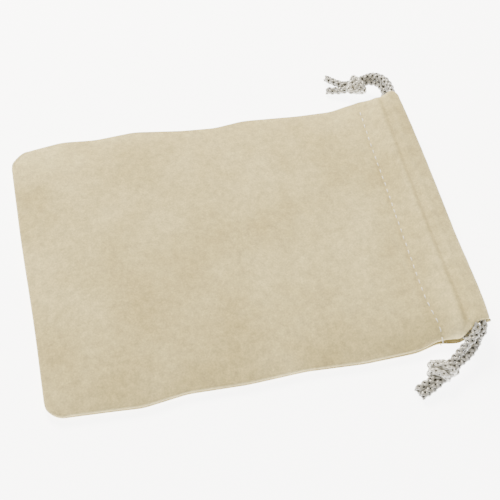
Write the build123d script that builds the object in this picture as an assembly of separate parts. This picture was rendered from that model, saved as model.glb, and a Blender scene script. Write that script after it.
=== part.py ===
from build123d import *
import os
from math import atan2, radians, sin, tan

# A velvet drawstring pouch lying flat. X runs from the closed end (-X) to the mouth (+X), Y runs
# across it, from the near side (-Y) to the far side (+Y), and Z is up from the table.

# overall size, in mm
LENGTH = 140.0
WIDTH = 100.0
CLOTH = 0.6  # thickness of the velvet
CORD = 2.5  # diameter of the braided cord
THREAD = 0.35

# bag
CORNER = 7.0  # rounding of the closed end's corners
ALLOWANCE = 7.0  # width of the seam allowance that is turned in at the sides and the closed end
SLOPE = 14.0  # width of the slope from a seam up to the level top
CAVITY = 6.2  # height inside, between the level top and the back

# drawcord channels, one in the front and one in the back
HEM_EDGE = 18.0  # from the mouth to the hem's raw edge
HEM_LINE = 15.3  # from the mouth to the row of stitches
RAMP_END = 7.6  # from the mouth to where the channel is at its full height
BORE = CORD + 0.1  # clear height of a channel where the cords run
SLIT = 4.3  # gap of the mouth between the two channels
LIP = 1.4  # outer radius of the folded mouth edges
CHANNEL_SIDE = 48.0  # half width of the channels' outer layers
HEM_SIDE = 45.5  # half width of the hems inside them

# cords: each is a hairpin, with both ends out at one side and its bend round the other side
INNER_X = LENGTH / 2 - 5.3  # the run further from the mouth edge
OUTER_X = LENGTH / 2 - 2.1  # the run beside the mouth edge
KNOT_RADIUS = 3.45
NEAR_KNOT_LENGTH = 10.5
FAR_KNOT_LENGTH = 8.0
STITCH = 3.1  # pitch of every row of stitches

# levels worked out from those
MOUTH = LENGTH / 2
BACK_HEM_TOP = 2 * CLOTH + BORE
FRONT_HEM = BACK_HEM_TOP + SLIT
TOP = FRONT_HEM + 2 * CLOTH + BORE
BACK_CORD_Z = CLOTH + BORE / 2
FRONT_CORD_Z = TOP - CLOTH - BORE / 2
SEAM_Z = 2 * CLOTH  # where the front panel's allowance meets the back panel's
BODY_TOP = 2 * CLOTH + CAVITY
BODY_END = MOUTH - HEM_EDGE


def slab(x0, x1, half_width, z0, z1, corner=0.0):
    """A level plate from x0 to x1, rounded at the corners of its closed end."""
    plate = Pos((x0 + x1) / 2, 0, z0) * Box(
        x1 - x0, 2 * half_width, z1 - z0, align=(Align.CENTER, Align.CENTER, Align.MIN)
    )
    if not corner:
        return plate
    ends = plate.edges().filter_by(Axis.Z).group_by(Axis.X)[0]
    return fillet(ends, corner)


def tapered(margin_low, z_low, margin_high, z_high):
    """A block with sloping sides and closed end, whose two levels are inset by the given margins."""
    far_x = MOUTH + 30.0
    levels = []
    for margin, z in ((margin_low, z_low), (margin_high, z_high)):
        length = far_x + LENGTH / 2 - margin
        outline = RectangleRounded(length, WIDTH - 2 * margin, CORNER)
        levels.append(Pos((far_x - LENGTH / 2 + margin) / 2, 0, z) * outline)
    return loft(levels, ruled=True)


def across(points, half_width):
    """A flat X-Z outline, made as wide as the pouch."""
    face = make_face(Polyline(*[(x, 0, z) for x, z in points], close=True))
    return extrude(face, amount=half_width, dir=(0, 1, 0), both=True)


def mouth_fold(z_cloth, z_hem):
    """The turned edge of a mouth, from an outer layer's cloth at z_cloth to its hem at z_hem."""
    middle = (z_cloth + z_hem) / 2
    height = abs(z_cloth - z_hem)
    start = MOUTH - LIP
    outer = Pos(start, 0, middle) * Box(2 * LIP, 2 * CHANNEL_SIDE, height)
    outer = fillet(outer.edges().filter_by(Axis.Y).group_by(Axis.X)[-1], LIP)
    bore = Pos(start, 0, middle) * Box(2 * (LIP - CLOTH), 2 * WIDTH, height - 2 * CLOTH)
    bore = fillet(bore.edges().filter_by(Axis.Y).group_by(Axis.X)[-1], LIP - CLOTH - 0.05)
    half = Pos(start, 0, middle) * Box(
        2 * LIP, 2 * WIDTH, height, align=(Align.MIN, Align.CENTER, Align.CENTER)
    )
    return (outer - bore) & half


def channel_outer_front():
    """The front panel over its channel: level at the stitches, then up a ramp over the cords."""
    z = BODY_TOP
    ramp = MOUTH - RAMP_END
    line = MOUTH - HEM_LINE
    end = MOUTH - LIP
    return across(
        [
            (BODY_END, z - CLOTH),
            (BODY_END, z),
            (line + 0.5, z),
            (ramp, TOP),
            (end, TOP),
            (end, TOP - CLOTH),
            (ramp + 0.25, TOP - CLOTH),
            (line + 0.75, z - CLOTH),
        ],
        CHANNEL_SIDE,
    )


def hem(z_stitched, z_cords):
    """A turned-in hem: flat where it is sewn down, then sloping to its level beside the cords.
    Both levels are those of its underside."""
    ramp = MOUTH - RAMP_END
    line = MOUTH - HEM_LINE + 0.75
    end = MOUTH - LIP
    under = [(BODY_END, z_stitched), (line, z_stitched), (ramp, z_cords), (end, z_cords)]
    upper = [(x, z + CLOTH) for x, z in reversed(under)]
    return across(under + upper, HEM_SIDE)


def front_panel():
    edge_top = SEAM_Z + CLOTH
    rise = BODY_TOP - edge_top
    wall = CLOTH / sin(atan2(rise, SLOPE))
    rim = slab(-LENGTH / 2, BODY_END, WIDTH / 2, SEAM_Z, edge_top, CORNER)
    crown = tapered(0, edge_top, SLOPE, BODY_TOP)
    inside = tapered(wall, edge_top, wall + SLOPE * (rise - CLOTH) / rise, BODY_TOP - CLOTH)
    inside += slab(ALLOWANCE - LENGTH / 2, LENGTH, WIDTH / 2 - ALLOWANCE, SEAM_Z, edge_top + 0.1)
    keep = slab(-LENGTH, BODY_END, WIDTH, 0, 2 * TOP)
    body = (rim + (crown & keep)) - inside
    return body + channel_outer_front() + mouth_fold(TOP, FRONT_HEM)


def back_panel():
    sheet = slab(-LENGTH / 2, BODY_END, WIDTH / 2, 0, CLOTH, CORNER)
    rim = slab(-LENGTH / 2, BODY_END, WIDTH / 2, CLOTH, SEAM_Z, CORNER)
    rim -= slab(ALLOWANCE - LENGTH / 2, LENGTH, WIDTH / 2 - ALLOWANCE, 0, TOP)
    channel = slab(BODY_END, MOUTH - LIP, CHANNEL_SIDE, 0, CLOTH)
    fold = mouth_fold(0, BACK_HEM_TOP)
    return sheet + rim + channel + fold


def stitch_row(length, z_low, z_high):
    """A lockstitch along X, centred on the origin: long stitches at z_high, short ones at z_low,
    and the thread passing through the cloth between them."""
    count = int(length / STITCH)
    shown = 0.72 * STITCH
    first = -count * STITCH / 2
    rise = z_high - z_low
    row = Sketch()
    for n in range(count):
        x = first + n * STITCH
        row += Pos(x + shown / 2, z_high - THREAD / 2) * Rectangle(shown, THREAD)
        for leg in (x + THREAD / 2, x + shown - THREAD / 2):
            row += Pos(leg, z_low + rise / 2) * Rectangle(THREAD, rise)
        if n:
            gap = STITCH - shown + 2 * THREAD
            row += Pos(x - (STITCH - shown) / 2, z_low + THREAD / 2) * Rectangle(gap, THREAD)
    return extrude(Plane.XZ * row, amount=THREAD / 2, both=True)


def hem_stitches(z_low, z_high):
    row = stitch_row(2 * HEM_SIDE - 1.0, z_low, z_high)
    return Pos(MOUTH - HEM_LINE, 0, 0) * Rot(0, 0, 90) * row


def side_stitches(side):
    inset = 1.0
    length = BODY_END + LENGTH / 2 - CORNER - 2.0
    middle = BODY_END - 1.0 - length / 2
    row = stitch_row(length, SEAM_Z - CLOTH, SEAM_Z + CLOTH)
    return Pos(middle, side * (WIDTH / 2 - inset), 0) * row


def end_stitches():
    inset = 1.0
    row = stitch_row(WIDTH - 2 * CORNER, SEAM_Z - CLOTH, SEAM_Z + CLOTH)
    return Pos(inset - LENGTH / 2, 0, 0) * Rot(0, 0, 90) * row


def tube(path, start, direction):
    """A round cord along a path of straight runs and tangent arcs."""
    section = Plane(origin=start, z_dir=direction) * Circle(CORD / 2)
    return sweep(section, path)


def cord_route(points):
    """Straight runs joined by the largest tangent arcs that they leave room for."""
    at = [Vector(*p) for p in points]
    radii = []
    for before, corner, after in zip(at, at[1:], at[2:]):
        into, out = corner - before, after - corner
        half_turn = radians(into.get_angle(out)) / 2
        radii.append(0.45 * min(into.length, out.length) / tan(half_turn))
    path = FilletPolyline(*at, radius=radii) if len(radii) > 1 else fillet_one(at, radii[0])
    print("  radii", [round(r, 1) for r in radii], "length", round(path.length, 1))
    return path


def fillet_one(at, radius):
    line = Polyline(*at)
    return line.fillet_2d(radius, [line.vertices()[1]])


def free_cord(points):
    at = [Vector(*p) for p in points]
    path = cord_route(points)
    solid = tube(path, at[0], at[1] - at[0])
    section = 3.14159265 * CORD**2 / 4
    print("  volume over section x length", round(solid.volume / (section * path.length), 3))
    return solid


def held_loop(side, front_x, back_x):
    """The stretch of a cord inside the pouch. side is where its ends come out: it runs through the
    front channel, turns round the other side of the mouth and runs back through the back channel."""
    end = side * HEM_SIDE
    front = Vector(front_x, -end, FRONT_CORD_Z)
    back = Vector(back_x, -end, BACK_CORD_Z)
    bulge = (front + back) / 2 - Vector(0, side * (front - back).length / 2, 0)
    start = Vector(front_x, end, FRONT_CORD_Z)
    finish = Vector(back_x, end, BACK_CORD_Z)
    path = Line(start, front) + ThreePointArc(front, bulge, back) + Line(back, finish)
    return tube(path, start, front - start)


def knot(centre, direction, length):
    """The outer shape of the overhand knot that ties a cord's two ends together."""
    straight = length - 2 * KNOT_RADIUS
    place = Plane(origin=centre, z_dir=direction)
    body = Cylinder(KNOT_RADIUS, straight)
    for end in (-1, 1):
        body += Pos(0, 0, end * straight / 2) * Sphere(KNOT_RADIUS)
    return place * body


# routes of the free ends, from the channel to the knot, and from the knot to the cut end
NEAR_KNOT = (53.4, -58.0, 3.5)
NEAR_KNOT_AXIS = (-11.3, -2.5, 0)
FAR_KNOT = (58.8, 61.2, 3.5)
FAR_KNOT_AXIS = (-3.2, -0.2, 0)
NEAR_FRONT_STRAND = [
    (INNER_X, -HEM_SIDE, FRONT_CORD_Z),
    (INNER_X, -48.6, FRONT_CORD_Z),
    (62.0, -52.0, 6.8),
    (57.4, -55.8, 4.6),
]
NEAR_BACK_STRAND = [
    (OUTER_X, -HEM_SIDE, BACK_CORD_Z),
    (OUTER_X, -49.8, BACK_CORD_Z),
    (65.6, -53.6, 2.2),
    (61.6, -56.8, 2.4),
    (57.2, -58.2, 2.9),
]
NEAR_FRONT_TAIL = [(49.2, -59.2, 3.2), (46.4, -61.2, 1.8), (43.0, -62.1, 1.4)]
NEAR_BACK_TAIL = [(51.2, -60.9, 2.2), (47.6, -63.7, 1.4), (43.8, -64.8, 1.4)]
FAR_FRONT_STRAND = [
    (OUTER_X, HEM_SIDE, FRONT_CORD_Z),
    (OUTER_X, 50.0, FRONT_CORD_Z),
    (67.8, 55.6, 8.6),
    (66.0, 60.4, 6.4),
    (61.0, 62.8, 4.6),
]
FAR_BACK_STRAND = [
    (INNER_X, HEM_SIDE, BACK_CORD_Z),
    (INNER_X, 51.6, BACK_CORD_Z),
    (63.8, 57.0, 2.4),
    (60.6, 60.6, 2.8),
]
FAR_FRONT_TAIL = [(56.2, 62.6, 3.2), (52.6, 65.2, 2.0), (49.0, 67.6, 1.4)]
FAR_BACK_TAIL = [(56.0, 60.2, 2.4), (52.0, 61.4, 1.6), (48.0, 61.3, 1.4)]

front_level = BODY_TOP - 2 * CLOTH
PARTS = {
    "front_panel": front_panel(),
    "back_panel": back_panel(),
    "front_hem": hem(front_level, FRONT_HEM),
    "back_hem": hem(CLOTH, BACK_HEM_TOP - CLOTH),
    "front_hem_stitches": hem_stitches(front_level - 0.1, BODY_TOP + 0.1),
    "back_hem_stitches": hem_stitches(0, 2 * CLOTH + 0.1),
    "near_side_stitches": side_stitches(-1),
    "far_side_stitches": side_stitches(1),
    "closed_end_stitches": end_stitches(),
    "near_cord_loop": held_loop(-1, INNER_X, OUTER_X),
    "far_cord_loop": held_loop(1, OUTER_X, INNER_X),
    "near_front_strand": free_cord(NEAR_FRONT_STRAND),
    "near_back_strand": free_cord(NEAR_BACK_STRAND),
    "near_knot": knot(NEAR_KNOT, NEAR_KNOT_AXIS, NEAR_KNOT_LENGTH),
    "near_front_tail": free_cord(NEAR_FRONT_TAIL),
    "near_back_tail": free_cord(NEAR_BACK_TAIL),
    "far_front_strand": free_cord(FAR_FRONT_STRAND),
    "far_back_strand": free_cord(FAR_BACK_STRAND),
    "far_knot": knot(FAR_KNOT, FAR_KNOT_AXIS, FAR_KNOT_LENGTH),
    "far_front_tail": free_cord(FAR_FRONT_TAIL),
    "far_back_tail": free_cord(FAR_BACK_TAIL),
}

os.makedirs("parts", exist_ok=True)
for name, shape in PARTS.items():
    export_step(shape, f"parts/{name}.step")
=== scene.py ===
from math import pi, radians

import bpy
import numpy as np
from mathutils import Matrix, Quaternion, Vector


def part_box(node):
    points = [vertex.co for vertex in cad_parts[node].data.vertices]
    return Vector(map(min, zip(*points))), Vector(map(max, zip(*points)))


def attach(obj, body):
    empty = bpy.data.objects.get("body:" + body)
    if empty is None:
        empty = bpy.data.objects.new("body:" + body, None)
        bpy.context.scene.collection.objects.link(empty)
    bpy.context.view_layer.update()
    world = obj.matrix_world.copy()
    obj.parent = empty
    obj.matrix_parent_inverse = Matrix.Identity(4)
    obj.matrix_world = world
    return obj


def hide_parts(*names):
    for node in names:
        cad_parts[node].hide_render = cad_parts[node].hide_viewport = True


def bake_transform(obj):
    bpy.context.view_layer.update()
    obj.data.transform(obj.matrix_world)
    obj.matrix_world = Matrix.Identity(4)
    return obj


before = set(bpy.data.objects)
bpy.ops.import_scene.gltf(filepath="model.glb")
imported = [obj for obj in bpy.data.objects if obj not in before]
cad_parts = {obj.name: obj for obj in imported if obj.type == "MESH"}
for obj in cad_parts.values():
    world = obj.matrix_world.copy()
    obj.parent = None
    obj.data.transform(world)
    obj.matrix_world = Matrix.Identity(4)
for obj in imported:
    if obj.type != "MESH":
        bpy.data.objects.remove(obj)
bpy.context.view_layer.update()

# A velvet drawstring pouch lying flat: the closed end at -X, the mouth at +X, the near side at -Y
# and the far side at +Y. Lengths are in millimetres until a mesh is made.
MM = 0.001
TINY = 1e-9
CLOTH = 0.6  # thickness of the velvet
CORD = 2.5  # diameter of a drawcord
CHANNEL = 2.6  # clear height of a drawcord channel


def box_mm(node):
    low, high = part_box(node)
    return np.array(low) / MM, np.array(high) / MM


# sizes and places taken from the frame
FRONT_LOW, FRONT_HIGH = box_mm("front_panel")
STITCH_LOW, STITCH_HIGH = box_mm("front_hem_stitches")
CLOSED_X, MOUTH_X = FRONT_LOW[0], FRONT_HIGH[0]
HALF_WIDTH = FRONT_HIGH[1]
TOP = FRONT_HIGH[2]
HEM_EDGE_X = box_mm("front_hem")[0][0]
FRONT_HEM_Z = TOP - 2 * CLOTH - CHANNEL
BACK_HEM_Z = box_mm("back_panel")[1][2]
STITCH_X = (STITCH_LOW[0] + STITCH_HIGH[0]) / 2
HEM_SIDE = box_mm("front_hem")[1][1]

# ---------------------------------------------------------------- camera

CAMERA_PLACE = Vector((-58.3, -173.9, 284.2)) * MM
CAMERA_AIM = Vector((2.8, -4.0, 4.0)) * MM
CAMERA_ROLL = radians(8.3)
CAMERA_LENS = 72.0


def make_camera():
    data = bpy.data.cameras.new("camera")
    data.lens = CAMERA_LENS
    data.clip_start, data.clip_end = 0.01, 10.0
    camera = bpy.data.objects.new("camera", data)
    camera.location = CAMERA_PLACE
    camera.rotation_mode = "QUATERNION"
    level = (CAMERA_AIM - CAMERA_PLACE).to_track_quat("-Z", "Y")
    camera.rotation_quaternion = level @ Quaternion((0, 0, 1), CAMERA_ROLL)
    bpy.context.scene.collection.objects.link(camera)
    bpy.context.scene.camera = camera


# ---------------------------------------------------------------- meshes


def new_piece(name, points, faces, material, smooth=True):
    """A mesh from points in millimetres."""
    mesh = bpy.data.meshes.new(name)
    mesh.from_pydata((np.asarray(points) * MM).tolist(), [], [tuple(f) for f in faces])
    mesh.polygons.foreach_set("use_smooth", [smooth] * len(mesh.polygons))
    mesh.materials.append(material)
    mesh.update()
    piece = bpy.data.objects.new(name, mesh)
    bpy.context.scene.collection.objects.link(piece)
    return piece


def ring_faces(rings, around, first=0):
    """The side and end faces of a tube whose points run round each ring in turn."""
    faces = []
    for i in range(rings - 1):
        a, b = first + i * around, first + (i + 1) * around
        for j in range(around):
            k = (j + 1) % around
            faces.append((a + j, a + k, b + k, b + j))
    faces.append(tuple(first + j for j in reversed(range(around))))
    faces.append(tuple(first + (rings - 1) * around + j for j in range(around)))
    return faces


def unit(v):
    """Vectors of length 1 in the same directions."""
    return v / np.maximum(np.linalg.norm(v, axis=-1, keepdims=True), TINY)


def ramp(start, end, x):
    """0 up to start, 1 from end on, and a smooth rise between them."""
    t = np.clip((x - start) / (end - start), 0, 1)
    return t * t * (3 - 2 * t)


def ridge(x, middle, width):
    """A smooth hump of height 1 at the middle."""
    return np.exp(-(((x - middle) / width) ** 2))


# ---------------------------------------------------------------- materials

WHITE = (1.0, 1.0, 1.0)
VELVET_DARK, VELVET_LIGHT = (0.585, 0.480, 0.216), (0.795, 0.680, 0.334)
NAP_MARKS = 0.85  # how strongly the nap and the pile darken the velvet
THREAD_DARK, THREAD_LIGHT = (0.70, 0.68, 0.60), (0.90, 0.88, 0.82)
YARN_DARK, YARN_LIGHT = (0.17, 0.165, 0.150), (0.68, 0.67, 0.63)
KNOT_YARN_LIT_DARK, KNOT_YARN_LIT_LIGHT = (0.34, 0.33, 0.30), (0.94, 0.93, 0.88)  # the same yarn painted lighter for the knots: painted light that offsets the shade between their tight turns
FILAMENT_STRETCH = (0.35, 14.0, 1.0)  # along a yarn, round it
# the core's colour is painted shade: the shadow inside the braid, seen between the yarns
CORE_SHADE_DARK, CORE_SHADE_LIGHT = (0.07, 0.066, 0.058), (0.14, 0.132, 0.115)


def new_material(name):
    material = bpy.data.materials.new(name)
    material.use_nodes = True
    nodes = material.node_tree.nodes
    return material, nodes, material.node_tree.links, nodes["Principled BSDF"]


def noise(nodes, links, vector, scale, detail, roughness):
    node = nodes.new("ShaderNodeTexNoise")
    node.inputs["Scale"].default_value = scale
    node.inputs["Detail"].default_value = detail
    node.inputs["Roughness"].default_value = roughness
    links.new(vector, node.inputs["Vector"])
    return node.outputs["Fac"]


def colours(nodes, links, value, stops):
    """A colour ramp: stops are (position, colour)."""
    node = nodes.new("ShaderNodeValToRGB")
    elements = node.color_ramp.elements
    while len(elements) < len(stops):
        elements.new(0.5)
    for element, (position, colour) in zip(elements, stops):
        element.position = position
        element.color = (*colour, 1)
    links.new(value, node.inputs["Fac"])
    return node.outputs["Color"]


def mixed(nodes, links, kind, amount, a, b):
    node = nodes.new("ShaderNodeMix")
    node.data_type = "RGBA"
    node.blend_type = kind
    node.inputs["Factor"].default_value = amount
    links.new(a, node.inputs["A"])
    links.new(b, node.inputs["B"])
    return node.outputs["Result"]


def bumped(nodes, links, shader, height, strength, distance):
    node = nodes.new("ShaderNodeBump")
    node.inputs["Strength"].default_value = strength
    node.inputs["Distance"].default_value = distance
    links.new(height, node.inputs["Height"])
    links.new(node.outputs["Normal"], shader.inputs["Normal"])


def velvet_material():
    """Taupe velvet: broad clouds, brushed patches of nap and fine specks of pile."""
    material, nodes, links, shader = new_material("velvet")
    place = nodes.new("ShaderNodeTexCoord").outputs["Object"]
    clouds = noise(nodes, links, place, scale=38, detail=4, roughness=0.62)
    nap = noise(nodes, links, place, scale=420, detail=3, roughness=0.7)
    pile = noise(nodes, links, place, scale=1600, detail=3, roughness=0.7)
    broad = colours(nodes, links, clouds, [(0.30, VELVET_DARK), (0.70, VELVET_LIGHT)])
    patches = colours(nodes, links, nap, [(0.32, (0.69, 0.695, 0.75)), (0.70, WHITE)])
    specks = colours(nodes, links, pile, [(0.30, (0.64, 0.645, 0.72)), (0.70, WHITE)])
    colour = mixed(nodes, links, "MULTIPLY", NAP_MARKS, broad, patches)
    colour = mixed(nodes, links, "MULTIPLY", NAP_MARKS, colour, specks)
    links.new(colour, shader.inputs["Base Color"])
    shader.inputs["Roughness"].default_value = 0.95
    shader.inputs["Specular IOR Level"].default_value = 0.12
    shader.inputs["Sheen Weight"].default_value = 0.15
    shader.inputs["Sheen Roughness"].default_value = 0.45
    shader.inputs["Sheen Tint"].default_value = (0.90, 0.84, 0.66, 1)
    bumped(nodes, links, shader, pile, 0.35, 0.0002)
    return material


def thread_material():
    """Off-white sewing thread."""
    material, nodes, links, shader = new_material("thread")
    place = nodes.new("ShaderNodeTexCoord").outputs["Object"]
    fibres = noise(nodes, links, place, scale=3000, detail=2, roughness=0.6)
    colour = colours(nodes, links, fibres, [(0.3, THREAD_DARK), (0.7, THREAD_LIGHT)])
    links.new(colour, shader.inputs["Base Color"])
    shader.inputs["Roughness"].default_value = 0.6
    shader.inputs["Sheen Weight"].default_value = 0.3
    bumped(nodes, links, shader, fibres, 0.3, 0.0001)
    return material


def yarn_material(name, dark, light):
    """Glossy silver-grey yarn, with fine filaments along it (U runs along a yarn, V round it)."""
    material, nodes, links, shader = new_material(name)
    uv = nodes.new("ShaderNodeUVMap")
    uv.uv_map = "yarn"
    stretch = nodes.new("ShaderNodeMapping")
    stretch.inputs["Scale"].default_value = FILAMENT_STRETCH
    links.new(uv.outputs["UV"], stretch.inputs["Vector"])
    filaments = noise(nodes, links, stretch.outputs["Vector"], scale=1.0, detail=2, roughness=0.5)
    place = nodes.new("ShaderNodeTexCoord").outputs["Object"]
    wear = noise(nodes, links, place, scale=260, detail=3, roughness=0.6)
    base = colours(nodes, links, filaments, [(0.25, dark), (0.75, light)])
    tone = colours(nodes, links, wear, [(0.3, (0.70, 0.69, 0.66)), (0.7, WHITE)])
    links.new(mixed(nodes, links, "MULTIPLY", 0.8, base, tone), shader.inputs["Base Color"])
    shader.inputs["Roughness"].default_value = 0.28
    shader.inputs["Metallic"].default_value = 0.3
    shader.inputs["Specular IOR Level"].default_value = 0.6
    bumped(nodes, links, shader, filaments, 0.5, 0.0001)
    return material


def core_shade_material():
    """The braid's core, painted dark as the shade inside the braid that shows between its yarns."""
    material, nodes, links, shader = new_material("braid_core_shade")
    place = nodes.new("ShaderNodeTexCoord").outputs["Object"]
    # random mottle in the core's painted shade
    shade_mottle = noise(nodes, links, place, scale=1500, detail=2, roughness=0.6)
    colour = colours(nodes, links, shade_mottle, [(0.3, CORE_SHADE_DARK), (0.7, CORE_SHADE_LIGHT)])
    links.new(colour, shader.inputs["Base Color"])
    shader.inputs["Roughness"].default_value = 0.8
    return material


VELVET = velvet_material()
THREAD = thread_material()
YARN = yarn_material("braided_yarn", YARN_DARK, YARN_LIGHT)
# the knots' yarn is a lighter copy of the yarn: painted light against the shade between their turns
KNOT_YARN_LIT = yarn_material("knot_yarn_lit", KNOT_YARN_LIT_DARK, KNOT_YARN_LIT_LIGHT)
CORE_SHADE = core_shade_material()

# ---------------------------------------------------------------- cords

LAY_LENGTH = 6.6  # along the cord, for one turn of a yarn
YARNS_EACH_WAY = 3
YARN_RADIUS = 0.86  # from the cord's middle to a yarn's middle
YARN_WEAVE = 0.19  # how far a yarn rises and dips as it passes over and under
YARN_HALF_WIDTH = 0.46
YARN_HALF_THICKNESS = 0.25
CORE_RADIUS = 0.56
STEPS_PER_POINT = 14
YARN_SIDES = 8
CORE_SIDES = 10


def spline_points(route):
    """The points along a smooth curve with the route as its control points."""
    data = bpy.data.curves.new("route", "CURVE")
    data.dimensions = "3D"
    spline = data.splines.new("NURBS")
    spline.points.add(len(route) - 1)
    for point, place in zip(spline.points, route):
        point.co = (*(np.array(place) * MM), 1)
    spline.order_u = 3
    spline.use_endpoint_u = True
    spline.resolution_u = STEPS_PER_POINT
    line = bpy.data.objects.new("route", data)
    mesh = bpy.data.meshes.new_from_object(line)
    points = np.array([v.co for v in mesh.vertices]) / MM
    bpy.data.meshes.remove(mesh)
    bpy.data.curves.remove(data)
    return points


def directions(line):
    """At each point of a line: its direction, and two more square to it that don't twist about it."""
    forward = unit(np.gradient(line, axis=0))
    normals = [unit(np.array((0, 0, 1.0)) - forward[0] * forward[0][2])]
    for t in forward[1:]:
        n = normals[-1] - t * (normals[-1] @ t)
        normals.append(unit(n))
    normal = np.array(normals)
    return forward, normal, np.cross(forward, normal)


def yarn_points(line, along, frames, start_angle, way, fullness):
    """The rings of one yarn of the braid, winding to the right (way 1) or the left (-1)."""
    _, normal, side = frames
    angle = start_angle + way * 2 * pi * along / LAY_LENGTH
    weave = way * np.cos(2 * YARNS_EACH_WAY * pi * along / LAY_LENGTH)
    out = np.cos(angle)[:, None] * normal + np.sin(angle)[:, None] * side
    radius = (YARN_RADIUS + YARN_WEAVE * weave) * fullness
    middle = line + radius[:, None] * out
    across = unit(np.cross(np.gradient(middle, axis=0), out))
    turn = np.linspace(0, 2 * pi, YARN_SIDES, endpoint=False)
    wide = YARN_HALF_WIDTH * np.cos(turn)
    thick = YARN_HALF_THICKNESS * np.sin(turn)
    ring = wide[None, :, None] * across[:, None] + thick[None, :, None] * out[:, None]
    return middle[:, None] + ring


def tube_length(line):
    """How far along a line each of its points is."""
    return np.concatenate([[0], np.cumsum(np.linalg.norm(np.diff(line, axis=0), axis=1))])


def core_points(line, frames):
    """The rings of the core."""
    _, normal, side = frames
    turn = np.linspace(0, 2 * pi, CORE_SIDES, endpoint=False)[None, :, None]
    out = np.cos(turn) * normal[:, None] + np.sin(turn) * side[:, None]
    return line[:, None] + CORE_RADIUS * out


def yarn_tubes(line, fullness):
    """Points, faces, U and V and material slots of a hollow braid round a core painted dark as the shade
    inside it.
    """
    frames = directions(line)
    along = tube_length(line)
    around = np.tile(np.abs(np.linspace(-1, 1, YARN_SIDES, endpoint=False)), len(line))
    points, faces, uvs = [], [], []
    for way in (1, -1):
        for n in range(YARNS_EACH_WAY):
            start_angle = n * 2 * pi / YARNS_EACH_WAY
            rings = yarn_points(line, along, frames, start_angle, way, fullness(along))
            faces += ring_faces(len(line), YARN_SIDES, sum(len(p) for p in points))
            points.append(rings.reshape(-1, 3))
            shifted = along + 11 * n + 60 * way  # so that no two yarns have the same filaments
            uvs.append(np.stack([np.repeat(shifted, YARN_SIDES), around], axis=1))
    slots = [0] * len(faces)
    faces += ring_faces(len(line), CORE_SIDES, sum(len(p) for p in points))
    points.append(core_points(line, frames).reshape(-1, 3))
    uvs.append(np.zeros((len(line) * CORE_SIDES, 2)))
    slots += [1] * (len(faces) - len(slots))
    return np.concatenate(points), faces, np.concatenate(uvs), slots


# how much wider or narrower than its plain width a braid is, for each distance along it


def free_fullness(along):
    """A free end fills out as it leaves its channel, and is drawn in a little where it is cut."""
    return 1.08 + 0.14 * ramp(0, 2.5, along) - 0.12 * np.exp(-(along[-1] - along) / 0.5)


def held_fullness(along):
    """A loop is pressed thin in its channels and fills out where it bends round the mouth's side."""
    ends = np.exp(-along / 3) + np.exp(-(along[-1] - along) / 3)
    return 0.9 + 0.16 * ends + 0.3 * ridge(along, along[-1] / 2, 5.0)


def knot_fullness(along):
    """A turn of a knot is drawn tight."""
    return np.full(len(along), 0.96)


def braid(name, lines, fullness, yarn):
    """One piece of braided cord, along one or more lines of points."""
    points, faces, uvs, slots = [], [], [], []
    for line in lines:
        first = sum(len(p) for p in points)
        tube_points, tube_faces, tube_uvs, tube_slots = yarn_tubes(line, fullness)
        points.append(tube_points)
        faces += [tuple(first + v for v in f) for f in tube_faces]
        uvs.append(tube_uvs)
        slots += tube_slots
    piece = new_piece(name, np.concatenate(points), faces, yarn)
    # the second slot holds the core's painted shade
    piece.data.materials.append(CORE_SHADE)
    piece.data.polygons.foreach_set("material_index", slots)
    layer = piece.data.uv_layers.new(name="yarn")
    corner = np.zeros(len(piece.data.loops), int)
    piece.data.loops.foreach_get("vertex_index", corner)
    layer.data.foreach_set("uv", np.concatenate(uvs)[corner].ravel())
    return piece


INNER_X = MOUTH_X - 5.3  # the run further from the mouth edge
OUTER_X = MOUTH_X - 2.1  # the run beside the mouth edge
FRONT_CORD_Z = TOP - CLOTH - CHANNEL / 2
BACK_CORD_Z = CLOTH + CHANNEL / 2

# each free end's route before and after its knot
NEAR_FRONT_STRAND = [
    (INNER_X, -HEM_SIDE, FRONT_CORD_Z),
    (66.8, -47.9, FRONT_CORD_Z),
    (65.3, -50.6, 8.2),
    (61.2, -53.1, 6.2),
    (57.6, -55.7, 4.8),
]
NEAR_BACK_STRAND = [
    (OUTER_X, -HEM_SIDE, BACK_CORD_Z),
    (68.0, -49.5, 4.2),
    (66.6, -51.7, 5.0),
    (62.6, -55.2, 4.4),
    (58.4, -57.2, 4.2),
]
NEAR_FRONT_TAIL = [(50.6, -60.0, 3.0), (47.3, -60.9, 2.0), (43.4, -62.4, 1.45)]
NEAR_BACK_TAIL = [(51.5, -61.4, 2.8), (48.0, -63.2, 1.9), (44.3, -64.6, 1.45)]
FAR_FRONT_STRAND = [
    (OUTER_X, HEM_SIDE, FRONT_CORD_Z),
    (68.3, 50.7, 9.6),
    (68.8, 54.4, 9.1),
    (68.0, 58.8, 8.4),
    (65.0, 62.2, 7.0),
    (60.6, 62.2, 5.2),
]
FAR_BACK_STRAND = [
    (INNER_X, HEM_SIDE, BACK_CORD_Z),
    (66.6, 50.5, 3.4),
    (68.1, 54.8, 5.6),
    (66.8, 59.4, 5.6),
    (63.4, 61.4, 4.8),
    (60.8, 61.2, 4.4),
]
FAR_FRONT_TAIL = [(55.2, 61.8, 3.4), (52.2, 64.3, 2.1), (48.9, 68.2, 1.45)]
FAR_BACK_TAIL = [(54.4, 60.2, 2.7), (50.9, 61.2, 1.7), (47.6, 62.0, 1.45)]


def box_middle(node):
    low, high = box_mm(node)
    return (low + high) / 2


KNOT_CORNERS = 10  # control points round one turn of a knot
KNOT_TUCK = 0.45  # how far out from the knot's middle a turn's two ends are, as a share of the rest
KNOT_DRIFT = 1.2  # how far a turn moves sideways from its start to its end
FLOOR_GAP = 0.1


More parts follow.
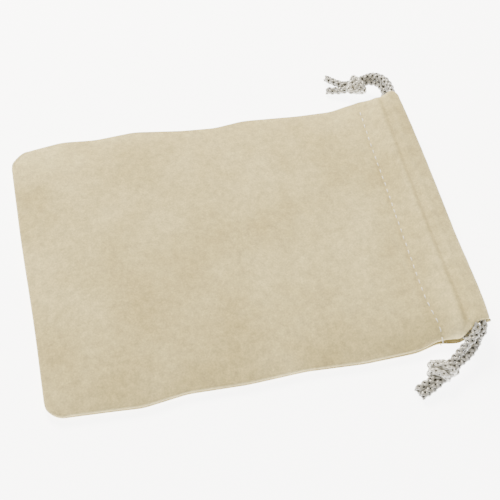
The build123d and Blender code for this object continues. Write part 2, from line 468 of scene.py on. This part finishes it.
def knot_turn(middle, along, across, reach, rise):
    """One turn of the cord round a knot's core: a flattened ring whose two ends are tucked in below."""
    along, across = unit(np.array(along, float)), unit(np.array(across, float))
    beside = np.cross(along, across)
    route = []
    for n in range(KNOT_CORNERS + 1):
        angle = radians(360 * n / KNOT_CORNERS - 90)
        tuck = KNOT_TUCK if n in (0, KNOT_CORNERS) else 1.0
        drift = KNOT_DRIFT * (n / KNOT_CORNERS - 0.5)
        place = reach * np.cos(angle) * along + rise * np.sin(angle) * across
        route.append(middle + tuck * place + drift * beside)
    return spline_points(route)


def knot_turns(name, node, body, turns):
    """The doubled cord's turns round a knot. Each turn is (shift from the knot's middle, direction
    along, direction across, half its length, half its height)."""
    middle = box_middle(node)
    lines = [knot_turn(middle + np.array(shift), *rest) for shift, *rest in turns]
    for line in lines:
        line[:, 2] = np.maximum(line[:, 2], CORD / 2 + FLOOR_GAP)
    # the knot's turns use the lighter yarn, painted light against the shade between them
    piece = braid(name, lines, knot_fullness, KNOT_YARN_LIT)
    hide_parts(node)
    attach(piece, body)
    return piece


def free_cord(end, body, route):
    """One end of a drawcord: out of its channel, through the middle of its knot, to its cut end."""
    line = spline_points(route)
    piece = braid(f"{end}_cord", [line], free_fullness, YARN)
    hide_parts(f"{end}_strand", f"{end}_tail")
    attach(piece, body)


RUN_STEPS = 260  # points along a run in a channel
BEND_STEPS = 48  # points round its bend


def held_loop(name, body, side, front_x, back_x, lean, slack):
    """The stretch of a drawcord inside the channels, bent round the mouth's other side. lean is how
    far it stands out towards the mouth edge before the bend, slack how far the bend stands off."""
    end = side * HEM_SIDE
    front = np.array((front_x, -end, FRONT_CORD_Z))
    back = np.array((back_x, -end, BACK_CORD_Z))
    first = np.linspace((front_x, end, FRONT_CORD_Z), front, RUN_STEPS)
    first[:, 0] += lean * ramp(0.5, 1.0, np.linspace(0, 1, RUN_STEPS))
    last = np.linspace(back, (back_x, end, BACK_CORD_Z), RUN_STEPS)
    turn = np.linspace(0, pi, BEND_STEPS)[1:-1, None]
    middle, arm = (front + back) / 2, (front - back) / 2
    reach = np.array((0.9 * lean, -side * (np.linalg.norm(arm) + slack), 0))
    bend = middle + arm * np.cos(turn) + reach * np.sin(turn)
    bend[:, 0] += lean * (1 + np.cos(turn[:, 0])) / 2
    line = np.concatenate([first, bend, last])
    piece = braid(name, [line], held_fullness, YARN)
    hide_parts(name.replace("_shown", ""))
    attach(piece, body)


make_camera()
UP = (0, 0, 1)
SLANT = (0.77, -0.64, 0)
NEAR_TURNS = [
    ((-0.4, 0.4, 0.1), SLANT, UP, 3.9, 2.2),
    ((-2.0, -1.5, -0.2), SLANT, UP, 3.0, 2.0),
    ((0.5, 0.6, -0.6), (0.93, -0.37, 0.12), (0.37, 0.93, 0.0), 4.1, 2.1),
]
FAR_TURNS = [
    ((-1.5, -1.7, 0.6), (1, -0.2, 0.08), (0.3, 0.84, 0.46), 1.9, 1.8),
    ((-1.6, 0.7, 0.2), (0.55, 0.83, 0.0), UP, 2.7, 2.3),
    ((1.3, -0.2, 0.1), (-0.2, 0.98, 0.0), (-0.25, 0.0, 0.97), 2.9, 2.3),
    ((0.2, -1.4, 1.3), (1, 0.3, 0), (0, 0.6, 0.8), 1.6, 1.2),
    ((-0.2, -0.4, -0.8), (1, 0, 0), (0, 1, 0), 3.3, 2.8),
]
near_turns = knot_turns("near_knot_turns", "near_knot", "near_cord", NEAR_TURNS)
far_turns = knot_turns("far_knot_turns", "far_knot", "far_cord", FAR_TURNS)
free_cord("near_front", "near_cord", NEAR_FRONT_STRAND + NEAR_FRONT_TAIL)
free_cord("near_back", "near_cord", NEAR_BACK_STRAND + NEAR_BACK_TAIL)
free_cord("far_front", "far_cord", FAR_FRONT_STRAND + FAR_FRONT_TAIL)
free_cord("far_back", "far_cord", FAR_BACK_STRAND + FAR_BACK_TAIL)
held_loop("near_cord_loop_shown", "near_cord", -1, INNER_X, OUTER_X, 0.3, 1.6)
held_loop("far_cord_loop_shown", "far_cord", 1, OUTER_X, INNER_X, 1.0, 0.0)

# ---------------------------------------------------------------- cloth

# half widths of the pouch along its two sides, as (x, half width)
NEAR_EDGE = [
    (-70, 50.4), (-51, 51.3), (-41, 51.9), (-27, 49.9), (-8, 50.3), (11, 49.3), (30, 50.2), (48, 49.6),
    (56, 47.5), (60, 48.5), (63.8, 48.6), (65.6, 47.3), (67.8, 46.5), (70, 47.9), (72, 48.8),
]
FAR_EDGE = [
    (-70, 48.4), (-63, 50.4), (-52, 52.3), (-41, 51.5), (-27, 52.9), (-10, 50.8), (2, 50.2), (13, 51.8),
    (33, 50.9), (51, 51.1), (57, 50.0), (63, 49.1), (66, 49.9), (70, 51.9), (72, 52.4),
]
EDGE_BLUR = 2.0  # how far to each side the edge's line is smoothed
CORNER = 5.0
EDGE_INSET = 0.5  # from the outline in to where the cloth starts to roll over
SIDE_COLUMNS = 66
LIP_STEPS = 10
RIM_STEPS = 8
FOLD = 2.6  # from the mouth edge back to where the cloth starts to fold

MOUTH_BOW = 1.3  # how far the mouth edge's middle stands out
NEAR_BULGE = 1.4  # how far it stands out again near the near end
NEAR_TRIM = 0.5  # and how far back it goes at the near corner
FAR_TRIM = 0.7  # the same at the far corner
END_SHIFT = 0.8  # how far out the far part of the closed end lies

BODY_LEVEL = 5.2  # height of the front's top face at the closed end
BODY_RISE = 2.0  # how much higher it is beside the channel
HEM_RISE = 0.25  # how much higher again over the hem
CHANNEL_TOP = TOP + 0.35
STITCH_PULL = 0.5  # how deep the stitches draw the cloth in
VALLEY_X = 63.2  # the fold along the channel
VALLEY_DEPTH = 0.80
SEAM_Z = 2.85  # height of the front where it is sewn to the back
RIM_Z = TOP - 1.1  # height of the front at its sides, over the cords
FLAT_Z = 0.02  # the back's under face
HEM_GAP = 0.05  # between a hem and its panel where they are sewn together

STRAIN_X = 52.0  # from here to the mouth edge the bow grows
PEEK_X, PEEK = 60.0, 0.1  # where and how far the back shows under the near side


def edge_line(points, x):
    """A smooth line close to the points."""
    knots = np.array(points, float)
    window = np.linspace(-EDGE_BLUR, EDGE_BLUR, 9)
    return np.mean([np.interp(x + w, knots[:, 0], knots[:, 1]) for w in window], axis=0)


def half_width(x, side):
    """Half the pouch's width at x, on the near side (-1) or the far side (1)."""
    return edge_line(NEAR_EDGE if side < 0 else FAR_EDGE, x)


def mouth_bow(y):
    """How far the mouth edge stands out beyond its ends."""
    near_end = NEAR_BULGE * ramp(10, 44, -y) - NEAR_TRIM * ramp(46, 48.5, -y)
    far_corner = FAR_TRIM * ramp(47.6, 51.8, y)
    return MOUTH_BOW * (1 - (y / HALF_WIDTH) ** 2) + near_end - far_corner


def end_shift(y):
    """How far the closed end lies out at y."""
    return END_SHIFT * ramp(-28, 20, y)


def stitch_line(y):
    """Where the hem's stitches run: a nearly straight line that bends to the mouth at its ends."""
    near = 1.9 * ramp(32, 47, -y)
    far = 0.5 * ramp(30, 47, y)
    return STITCH_X + 0.2 * np.sin(y / 13) + near + far


def ripples(x, y):
    """Small gathers across the channel."""
    wave = np.sin(y / 0.83 + 0.4 * np.sin(x / 3)) + np.sin(y / 1.31 + 1.7) + np.sin(y / 2.3 + x / 6)
    return wave / 3


def front_level(x, y):
    """The height of the front's outer surface away from its sides."""
    line = stitch_line(y)
    sag = BODY_LEVEL + BODY_RISE * ramp(5, 50, x)
    sag += 0.30 * np.sin(x / 15 + 0.6) * np.cos(y / 19) + 0.12 * np.sin(x / 6.5 + y / 9)
    hem = HEM_RISE * ramp(50.6, 52.2, x)
    pull = -STITCH_PULL * ridge(x, line, 0.9)
    rise = (CHANNEL_TOP - BODY_LEVEL - BODY_RISE - HEM_RISE) * ramp(line + 0.4, 62.2, x)
    near = ramp(-30, 46, -y)
    valley = VALLEY_X + 0.9 * ramp(5, 46, -y) - 0.3 * ramp(0, 40, y)
    folds = 0.45 * ridge(x, valley - 2.6, 1.3) - (VALLEY_DEPTH + 0.20 * near) * ridge(x, valley, 1.3)
    folds += 0.35 * ridge(x, valley + 2.6, 1.1)
    gathers = 0.12 * ripples(x, y) * ramp(52, 58, x)
    return sag + hem + pull + rise + folds + gathers


def front_height(x, y, inward):
    """The height of the front's outer surface: low along its sides, where it is sewn to the back, and
    arched over the cords where they leave the channel."""
    near_rise = ramp(62.7, 64.8, x) + 0.13 * ridge(x, 67.8, 2.0)
    far_rise = ramp(44.0, 67.0, x) + 0.08 * ridge(x, 68.2, 2.5)
    edge = SEAM_Z + (RIM_Z - SEAM_Z) * np.where(y < 0, near_rise, far_rise)
    width = 9.0 - 8.0 * ramp(48, 62.5, x)
    return edge + (front_level(x, y) - edge) * (1 - np.exp(-inward / width))


def body_grid(side, rows, columns, peek=0.0):
    """Places in plan of one half's rows and columns, and how far in from the outline each is.
    columns run from 0 at the side to 1 at the middle. peek is how far the seam's edge stands out
    beside the channel on the near side."""
    x = CLOSED_X + EDGE_INSET + rows[:, None] + 0 * columns[None, :]
    half = half_width(x, side) - EDGE_INSET + peek * (side < 0) * ridge(x, PEEK_X, 2.6)
    inward_end = x - CLOSED_X - EDGE_INSET
    inward_side = columns[None, :] * half
    p = np.clip(1 - inward_end / CORNER, 0, 1)
    q = np.clip(1 - inward_side / CORNER, 0, 1)
    x = x + CORNER * p * (1 - np.sqrt(1 - q**2 / 2))
    inward_side = inward_side + CORNER * q * (1 - np.sqrt(1 - p**2 / 2))
    y = side * (half - inward_side)
    x = x + mouth_bow(y) * ramp(STRAIN_X, MOUTH_X, x)
    x = x - end_shift(y) * (1 - ramp(CLOSED_X, CLOSED_X + 45, x))
    inward_end = x - x[:1]
    inward = (np.maximum(inward_end, 0.01) ** -4.0 + np.maximum(inward_side, 0.01) ** -4.0) ** -0.25
    gap = np.hypot(np.maximum(CORNER - inward_end, 0), np.maximum(CORNER - inward_side, 0))
    return x, y, np.where(gap > 0, np.minimum(inward, np.maximum(CORNER - gap, 0)), inward)


def columns_in():
    """Shares of the way from a side to the middle, closer together at the side."""
    return np.linspace(0, 1, SIDE_COLUMNS) ** 1.4


def panel_rows():
    """How far from the closed end each row is: close together at that end and over the channel."""
    end = MOUTH_X - FOLD - CLOSED_X - EDGE_INSET
    closed_end, body, channel = (0, 9, 16), (10.4, 119, 72), (119.5, end, 58)
    return np.concatenate([np.linspace(*part) for part in (closed_end, body, channel)])


def lip_rows(last, middle, tall, start, narrow):
    """The mouth fold: half an ellipse from the panel's last row to the hem, beginning at the angle
    start. narrow says how much narrower than the panel each row is."""
    turn = np.linspace(start, -start, LIP_STEPS)[1:]
    return [
        np.stack([last[:, 0] + FOLD * np.cos(a), last[:, 1] * k, middle + tall * np.sin(a)], axis=1)
        for a, k in zip(turn, narrow)
    ]


def hem_rows(rows):
    """The numbers of the rows that the hem lies over, from the mouth fold to its raw edge."""
    at = rows + CLOSED_X + EDGE_INSET
    return [row for row in range(len(rows) - 2, 0, -1) if at[row] >= HEM_EDGE_X]


def hem_side(y):
    """A row's places across the pouch, drawn in to the hem's width."""
    return y * min(HEM_SIDE / np.abs(y).max(), 0.98)


def front_half(side):
    """Rows of points of the front cloth from the closed end, round the mouth fold, to the hem's edge."""
    rows = panel_rows()
    x, y, inward = body_grid(side, rows, columns_in())
    panel = np.stack([x, y, front_height(x, y, inward)], axis=2)
    last = panel[-1]
    middle, tall = (last[:, 2] + FRONT_HEM_Z) / 2, (last[:, 2] - FRONT_HEM_Z) / 2
    narrow = 1 - 0.02 * np.linspace(0, 1, LIP_STEPS - 1)
    hem = []
    for row in hem_rows(rows):
        hem_y = hem_side(y[row])
        above = front_height(x[row], hem_y, np.abs(y[row]).max() - np.abs(hem_y))
        under = np.minimum(FRONT_HEM_Z, above - 2 * CLOTH - HEM_GAP)
        hem.append(np.stack([x[row], hem_y, under], axis=1))
    return np.concatenate([panel, lip_rows(last, middle, tall, pi / 2, narrow), hem])


def back_half(side):
    """The same for the back cloth, which lies flat."""
    rows = panel_rows()
    x, y, _ = body_grid(side, rows, columns_in(), PEEK)
    x = x - 0.6 * ramp(60, 70, x)
    panel = np.stack([x, y, 0 * x + FLAT_Z], axis=2)
    middle = BACK_HEM_Z / 2 + 0 * panel[-1][:, 0]
    narrow = np.full(LIP_STEPS - 1, 0.985)
    lowest = 2 * CLOTH + HEM_GAP
    hem = []
    for row in hem_rows(rows):
        at = rows[row] + CLOSED_X + EDGE_INSET
        level = lowest + (BACK_HEM_Z - lowest) * ramp(STITCH_X + 0.4, 62.6, at)
        hem.append(np.stack([x[row], hem_side(y[row]), 0 * x[row] + level], axis=1))
    return np.concatenate([panel, lip_rows(panel[-1], middle, middle - FLAT_Z, -pi / 2, narrow), hem])


def rim_path(grid):
    """The rows and columns along the near side, the closed end and the far side."""
    rows, columns = grid.shape[:2]
    near = [(i, 0) for i in range(rows - 1, 0, -1)]
    end = [(0, j) for j in range(columns)]
    far = [(i, columns - 1) for i in range(1, rows)]
    return near + end + far


def rolled_rim(grid, radius, angle, way):
    """The rows of the edge strip that rolls the cloth over along its rim: down if way is 1, up if it
    is -1. radius and angle are given for each point of the rim."""
    rows, columns = grid.shape[:2]
    path = rim_path(grid)
    at = np.array([grid[i, j] for i, j in path])
    inner = np.array([grid[min(max(i, 1), rows - 1), min(max(j, 1), columns - 2)] for i, j in path])
    along = unit(np.gradient(at, axis=0))
    outward = unit(at - inner)
    normal = unit(np.cross(along, outward))
    outward = unit(np.cross(normal, along))
    normal = way * np.where(normal[:, 2:] < 0, -1.0, 1.0) * normal
    rings = []
    for share in np.linspace(0, 1, RIM_STEPS + 1)[1:]:
        turn = angle * share
        out = radius * np.sin(turn)
        down = radius * (1 - np.cos(turn))
        rings.append(at + out[:, None] * outward - down[:, None] * normal)
    return path, rings


def cloth_sheet(name, halves, roll, flip):
    """One cloth, as two pieces that meet along its middle: the near half and the far half. roll gives
    its rim's radius and angle. flip is for the back, whose outer face is its under face."""
    near, far = halves
    grid = np.concatenate([near, far[:, -2::-1]], axis=1)
    rows, columns = grid.shape[:2]
    faces = []
    for i in range(rows - 1):
        for j in range(columns - 1):
            a = i * columns + j
            faces.append((a, a + columns, a + columns + 1, a + 1))
    radius, angle = roll(grid)
    path, rings = rolled_rim(grid, radius, angle, -1 if flip else 1)
    points = [grid.reshape(-1, 3)]
    before = [i * columns + j for i, j in path]
    count = rows * columns
    for ring in rings:
        here = list(range(count, count + len(ring)))
        count += len(ring)
        points.append(ring)
        for k in range(len(ring) - 1):
            faces.append((before[k], before[k + 1], here[k + 1], here[k]))
        before = here
    points = np.concatenate(points)
    if flip:
        faces = [f[::-1] for f in faces]
    return split_at_middle(name, points, faces)


def split_at_middle(name, points, faces):
    """A cloth as two closed pieces that meet at y = 0, with the whole cloth's normals there so that
    no line shows."""
    whole = new_piece(name, points, faces, VELVET)
    normals = np.array([v.normal for v in whole.data.vertices])
    bpy.data.objects.remove(whole)
    middle = np.array([points[list(f), 1].mean() for f in faces])
    pieces = []
    for part, chosen in (("near", middle < 0), ("far", middle >= 0)):
        kept = [f for f, keep in zip(faces, chosen) if keep]
        used = sorted({v for f in kept for v in f})
        new_index = {v: k for k, v in enumerate(used)}
        renumbered = [tuple(new_index[v] for v in f) for f in kept]
        thin = new_piece(f"{name}_{part}", points[used], renumbered, VELVET)
        pieces.append(thickened(thin, normals[used]))
    return pieces


AT_MIDDLE = 1e-7  # metres


def thickened(piece, normals):
    """Gives a cloth its thickness. Its first points stay the outer ones, and the rest are the inner."""
    thickness = piece.modifiers.new("thickness", "SOLIDIFY")
    thickness.thickness = CLOTH * MM
    thickness.offset = -1
    depsgraph = bpy.context.evaluated_depsgraph_get()
    mesh = bpy.data.meshes.new_from_object(piece.evaluated_get(depsgraph))
    piece.modifiers.clear()
    piece.data = mesh
    both = np.concatenate([normals, -normals])[: len(mesh.vertices)]
    at_middle = np.array([abs(v.co.y) < AT_MIDDLE for v in mesh.vertices])
    mesh.normals_split_custom_set_from_vertices(np.where(at_middle[:, None], both, 0.0).tolist())
    return piece


def rim_roll(grid, sewn, free):
    """Radius and angle of the rim's roll: sewn is (radius, degrees) along the seams, free the same
    beside the channel. The hem folded inside hardly rolls at all."""
    path = rim_path(grid)
    x = np.array([grid[i, j][0] for i, j in path])
    row = np.array([i for i, j in path])
    panel = len(panel_rows())
    loose = ramp(55.5, 60.0, x)
    inside = ramp(panel - 2, panel + LIP_STEPS, row)
    radius = (sewn[0] + (free[0] - sewn[0]) * loose) * (1 - 0.85 * inside)
    return radius, radians(1) * (sewn[1] + (free[1] - sewn[1]) * loose)


def front_roll(grid):
    """The front's seam edges tuck well under."""
    return rim_roll(grid, (0.9, 123), (0.45, 103))


def back_roll(grid):
    """The back's seam edges turn up into the groove."""
    return rim_roll(grid, (0.55, 150), (0.35, 90))


def blend_corner(piece):
    """Bakes a piece's place in the world into its mesh."""
    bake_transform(piece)


def declare_cloth(pieces, nodes):
    for piece, side in zip(pieces, (-1, 1)):
        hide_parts(*nodes)
        blend_corner(piece)


front_pieces = cloth_sheet("front_cloth", (front_half(-1), front_half(1)), front_roll, False)
declare_cloth(front_pieces, ["front_panel", "front_hem"])
back_pieces = cloth_sheet("back_cloth", (back_half(-1), back_half(1)), back_roll, True)
declare_cloth(back_pieces, ["back_panel", "back_hem"])

# ---------------------------------------------------------------- stitches

PITCH = 2.9
STITCH_SWAY = 0.06
SHOWN = 0.58  # share of each stitch that shows
THREAD_RADIUS = 0.18
THREAD_SIDES = 8
STITCH_START = 0.3  # from the middle line to the first stitch
SEAM_INSET = 1.3  # from the outline in to the seams' stitches
GROOVE_Z = 1.15  # height of the groove between front and back
BACK_STITCH_Z = 0.32


def stitch_piece(name, places):
    """A row of stitches: each place is (start, end, outward direction) of one stitch."""
    points, faces = [], []
    turn = np.linspace(0, 2 * pi, THREAD_SIDES, endpoint=False)[None, :, None]
    share = np.linspace(0, 1, 9)
    arch = np.sin(pi * share) ** 0.5
    lift = 0.30 * arch - 0.16
    thin = THREAD_RADIUS * (0.55 + 0.45 * arch)
    for start, end, out in places:
        start, end, out = np.array(start), np.array(end), np.array(out, float)
        line = start + share[:, None] * (end - start) + lift[:, None] * out
        side = np.cross(unit(end - start), out)
        rings = line[:, None] + thin[:, None, None] * (np.cos(turn) * side + np.sin(turn) * out)
        faces += ring_faces(len(share), THREAD_SIDES, len(points) * len(share) * THREAD_SIDES)
        points.append(rings.reshape(-1, 3))
    return new_piece(name, np.concatenate(points), faces, THREAD)


def hem_stitch_places(side, level, out):
    """Half a row of the hem's stitches. level gives their height and out the way they face."""
    places = []
    last = HEM_SIDE + (3.2 if side < 0 else 1.6)
    rng = np.random.default_rng(5)
    for n in range(int(last / PITCH) + 1):
        y0 = side * (n * PITCH + STITCH_START)
        y1 = side * (n * PITCH + STITCH_START + SHOWN * PITCH)
        if abs(y1) > last:
            break
        sway = STITCH_SWAY * rng.standard_normal(2)
        x0, x1 = stitch_line(y0) + sway[0], stitch_line(y1) + sway[1]
        places.append(((x0, y0, level(x0, y0)), (x1, y1, level(x1, y1)), (0, 0, out)))
    return places


def front_top(x, y):
    """The front's height at one place."""
    inward = half_width(x, np.sign(y)) - EDGE_INSET - abs(y)
    return float(front_height(np.array(x), np.array(y), np.array(max(inward, 0.0))))


def back_bottom(x, y):
    return BACK_STITCH_Z


def stitch_halves():
    for side, part in ((-1, "near"), (1, "far")):
        front = stitch_piece(f"front_hem_stitches_{part}", hem_stitch_places(side, front_top, 1))
        back = stitch_piece(f"back_hem_stitches_{part}", hem_stitch_places(side, back_bottom, -1))
        for piece, node in ((front, "front_hem_stitches"), (back, "back_hem_stitches")):
            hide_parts(node)
            blend_corner(piece)


def side_stitches(side, part):
    """The seam's stitches, hidden in the groove between the two cloths."""
    places = []
    for n in range(int((HEM_EDGE_X - CLOSED_X - CORNER - 2) / PITCH)):
        x0 = CLOSED_X + CORNER + 1 + n * PITCH
        x1 = x0 + SHOWN * PITCH
        y0, y1 = (side * (float(half_width(np.array(x), side)) - SEAM_INSET) for x in (x0, x1))
        places.append(((x0, y0, GROOVE_Z), (x1, y1, GROOVE_Z), (0, side, 0)))
    piece = stitch_piece(f"{part}_side_stitches_shown", places)
    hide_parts(f"{part}_side_stitches")
    blend_corner(piece)


def closed_end_stitches():
    """The closed end's seam, hidden in the groove as the sides' are."""
    places = []
    for n in range(int(2 * (HALF_WIDTH - CORNER - 2) / PITCH)):
        y0 = CORNER + 2 - HALF_WIDTH + n * PITCH
        y1 = y0 + SHOWN * PITCH
        x0, x1 = (CLOSED_X + SEAM_INSET - float(end_shift(y)) for y in (y0, y1))
        places.append(((x0, y0, GROOVE_Z), (x1, y1, GROOVE_Z), (-1, 0, 0)))
    piece = stitch_piece("closed_end_stitches_shown", places)
    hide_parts("closed_end_stitches")
    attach(piece, "pouch")


stitch_halves()
side_stitches(-1, "near")
side_stitches(1, "far")
closed_end_stitches()

# ---------------------------------------------------------------- floor and light


FLOOR_HALF = 20.0  # metres
FLOOR_Z = -0.0001  # metres
FLOOR_GLOW = 6.0


def stage():
    """A plain pale floor that glows a little, as an overlit studio sweep does."""
    data = bpy.data.meshes.new("floor")
    corners = [(x * FLOOR_HALF, y * FLOOR_HALF, 0) for x, y in ((-1, -1), (1, -1), (1, 1), (-1, 1))]
    data.from_pydata(corners, [], [(0, 1, 2, 3)])
    floor = bpy.data.objects.new("floor", data)
    floor.location.z = FLOOR_Z
    material, _, _, shader = new_material("floor")
    shader.inputs["Base Color"].default_value = (0.93, 0.93, 0.935, 1)
    shader.inputs["Roughness"].default_value = 0.9
    shader.inputs["Emission Color"].default_value = (*WHITE, 1)
    shader.inputs["Emission Strength"].default_value = FLOOR_GLOW
    data.materials.append(material)
    bpy.context.scene.collection.objects.link(floor)


def area_light(name, place, aim, size, power, colour):
    data = bpy.data.lights.new(name, "AREA")
    data.shape = "DISK"
    data.size = size
    data.energy = power
    data.color = colour
    light = bpy.data.objects.new(name, data)
    light.location = place
    light.rotation_mode = "QUATERNION"
    light.rotation_quaternion = (Vector(aim) - Vector(place)).to_track_quat("-Z", "Y")
    bpy.context.scene.collection.objects.link(light)


def make_light():
    """Soft light from all round, and one large lamp behind the pouch, to its far side."""
    world = bpy.data.worlds.new("studio")
    world.use_nodes = True
    background = world.node_tree.nodes["Background"]
    background.inputs["Color"].default_value = (1.0, 0.945, 0.82, 1)
    background.inputs["Strength"].default_value = 1.05
    bpy.context.scene.world = world
    area_light("key", (-0.12, 0.45, 0.46), (0, 0, 0), 0.3, 10.4, (1.0, 0.93, 0.79))


stage()
make_light()
